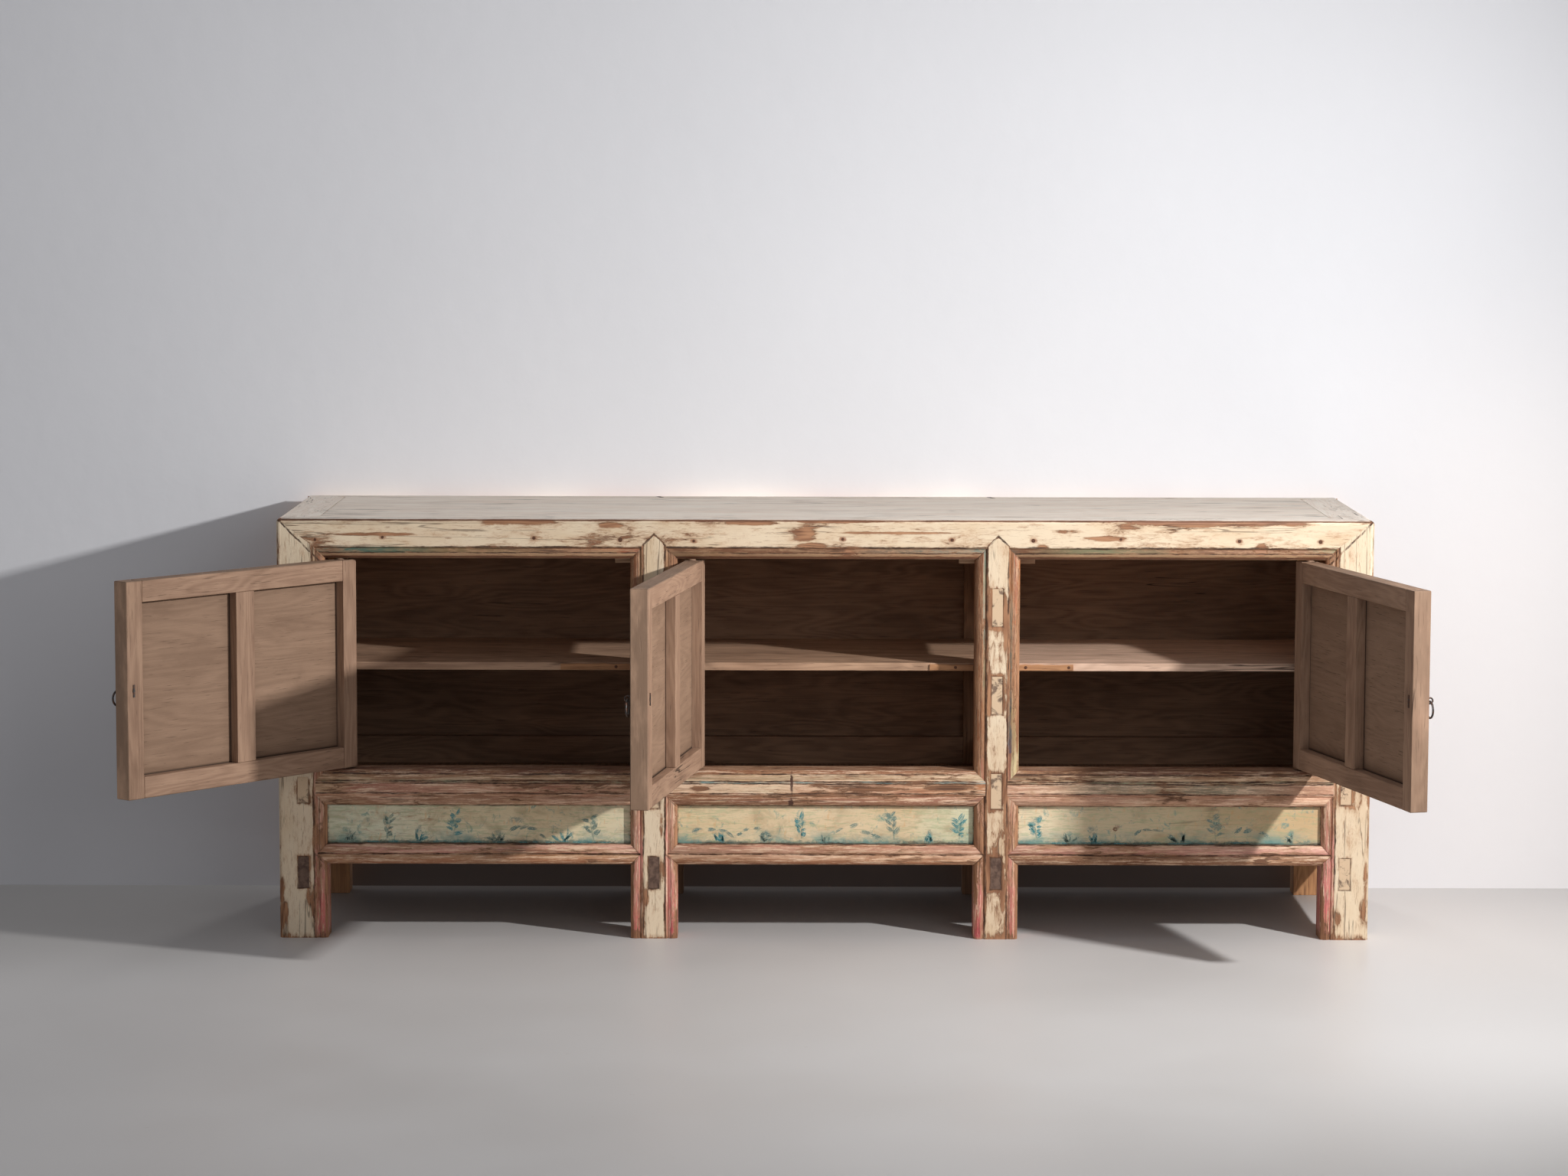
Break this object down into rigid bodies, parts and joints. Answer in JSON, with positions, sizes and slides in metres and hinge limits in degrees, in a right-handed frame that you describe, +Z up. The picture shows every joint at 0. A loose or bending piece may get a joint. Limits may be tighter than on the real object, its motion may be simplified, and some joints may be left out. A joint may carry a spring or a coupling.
{
  "type": "painted sideboard",
  "caption": "Long low painted sideboard with mitred beaded posts and rails, bays under a flush plank top, and panelled doors that swing on wooden pins.",
  "frame": {"origin": "middle of the sole of the front left post, on the floor", "axes": "+X runs along the front to the right, +Y runs to the back, +Z goes up"},
  "size_m": [2.5007, 1.1135, 0.85],
  "materials": {
    "flaking_cream_paint": "flaking cream paint over brown wood",
    "painted_rail_brown_cream": "worn paint",
    "painted_rail_pink": "worn paint",
    "painted_panel_teal_cream": "worn paint",
    "weathered_top_boards": "dry and weathered",
    "bare_tan_wood": "bare and dry",
    "dark_inner_wood": "bare and dark with age",
    "wrought_iron": "dark and rusty"
  },
  "bodies": {
    "carcass": {"back_panels": "dark_inner_wood", "back_rails": "dark_inner_wood", "cross_rails_left": "dark_inner_wood", "cross_rails_right": "dark_inner_wood", "door_stops": "bare_tan_wood", "floor_boards": "dark_inner_wood", "lower_rail_centre": "painted_rail_pink", "lower_rail_left": "painted_rail_pink", "lower_rail_right": "painted_rail_pink", "middle_rail_centre": "painted_rail_brown_cream", "middle_rail_left": "painted_rail_brown_cream", "middle_rail_right": "painted_rail_brown_cream", "painted_panel_centre": "painted_panel_teal_cream", "painted_panel_left": "painted_panel_teal_cream", "painted_panel_right": "painted_panel_teal_cream", "post_back_inner_left": "dark_inner_wood", "post_back_inner_right": "dark_inner_wood", "post_back_left": "dark_inner_wood", "post_back_right": "dark_inner_wood", "post_front_inner_left": "flaking_cream_paint", "post_front_inner_right": "flaking_cream_paint", "post_front_left": "flaking_cream_paint", "post_front_right": "flaking_cream_paint", "shelf_bearers": "dark_inner_wood", "shelf_centre": "bare_tan_wood", "shelf_left": "bare_tan_wood", "shelf_right": "bare_tan_wood", "side_panels_left": "dark_inner_wood", "side_panels_right": "dark_inner_wood", "side_rails_left": "dark_inner_wood", "side_rails_right": "dark_inner_wood", "top_battens": "dark_inner_wood", "top_board_back": "weathered_top_boards", "top_board_front": "weathered_top_boards", "top_board_middle": "weathered_top_boards", "top_rail_back": "flaking_cream_paint", "top_rail_front": "flaking_cream_paint", "top_rail_left": "flaking_cream_paint", "top_rail_right": "flaking_cream_paint"},
    "door_left": {"door_left_free_stile": "bare_tan_wood", "door_left_heel_stile": "bare_tan_wood", "door_left_muntin": "bare_tan_wood", "door_left_panels": "bare_tan_wood", "door_left_rails": "bare_tan_wood", "ring_staple_left": "wrought_iron"},
    "ring_left": {"ring_pull_left": "wrought_iron"},
    "door_centre": {"door_centre_free_stile": "bare_tan_wood", "door_centre_heel_stile": "bare_tan_wood", "door_centre_muntin": "bare_tan_wood", "door_centre_panels": "bare_tan_wood", "door_centre_rails": "bare_tan_wood", "ring_staple_centre": "wrought_iron"},
    "ring_centre": {"ring_pull_centre": "wrought_iron"},
    "door_right": {"door_right_free_stile": "bare_tan_wood", "door_right_heel_stile": "bare_tan_wood", "door_right_muntin": "bare_tan_wood", "door_right_panels": "bare_tan_wood", "door_right_rails": "bare_tan_wood", "ring_staple_right": "wrought_iron"},
    "ring_right": {"ring_pull_right": "wrought_iron"}
  },
  "joints": [
    {"name": "door_left_swing", "type": "hinge", "parent": "carcass", "child": "door_left", "pos_m": [0.0775, -0.014, 0.343], "axis": [0, 0, -1], "range_deg": [-130.25, 2.25]},
    {"name": "door_centre_swing", "type": "hinge", "parent": "carcass", "child": "door_centre", "pos_m": [0.7825, -0.014, 0.343], "axis": [0, 0, -1], "range_deg": [-99.4, 33.1]},
    {"name": "door_right_swing", "type": "hinge", "parent": "carcass", "child": "door_right", "pos_m": [2.0215, -0.014, 0.343], "axis": [0, 0, 1], "range_deg": [-104.35, 28.15]},
    {"name": "ring_left_lift", "type": "hinge", "parent": "door_left", "child": "ring_left", "pos_m": [-0.30153, -0.43078, 0.555], "axis": [0.6461, 0.7632, 0], "range_deg": [-8, 150]},
    {"name": "ring_centre_lift", "type": "hinge", "parent": "door_centre", "child": "ring_centre", "pos_m": [0.6731, -0.55236, 0.555], "axis": [0.1633, 0.9866, 0], "range_deg": [-8, 150]},
    {"name": "ring_right_lift", "type": "hinge", "parent": "door_right", "child": "ring_right", "pos_m": [2.18041, -0.55448, 0.555], "axis": [0.2478, -0.9688, 0], "range_deg": [-8, 150]}
  ]
}
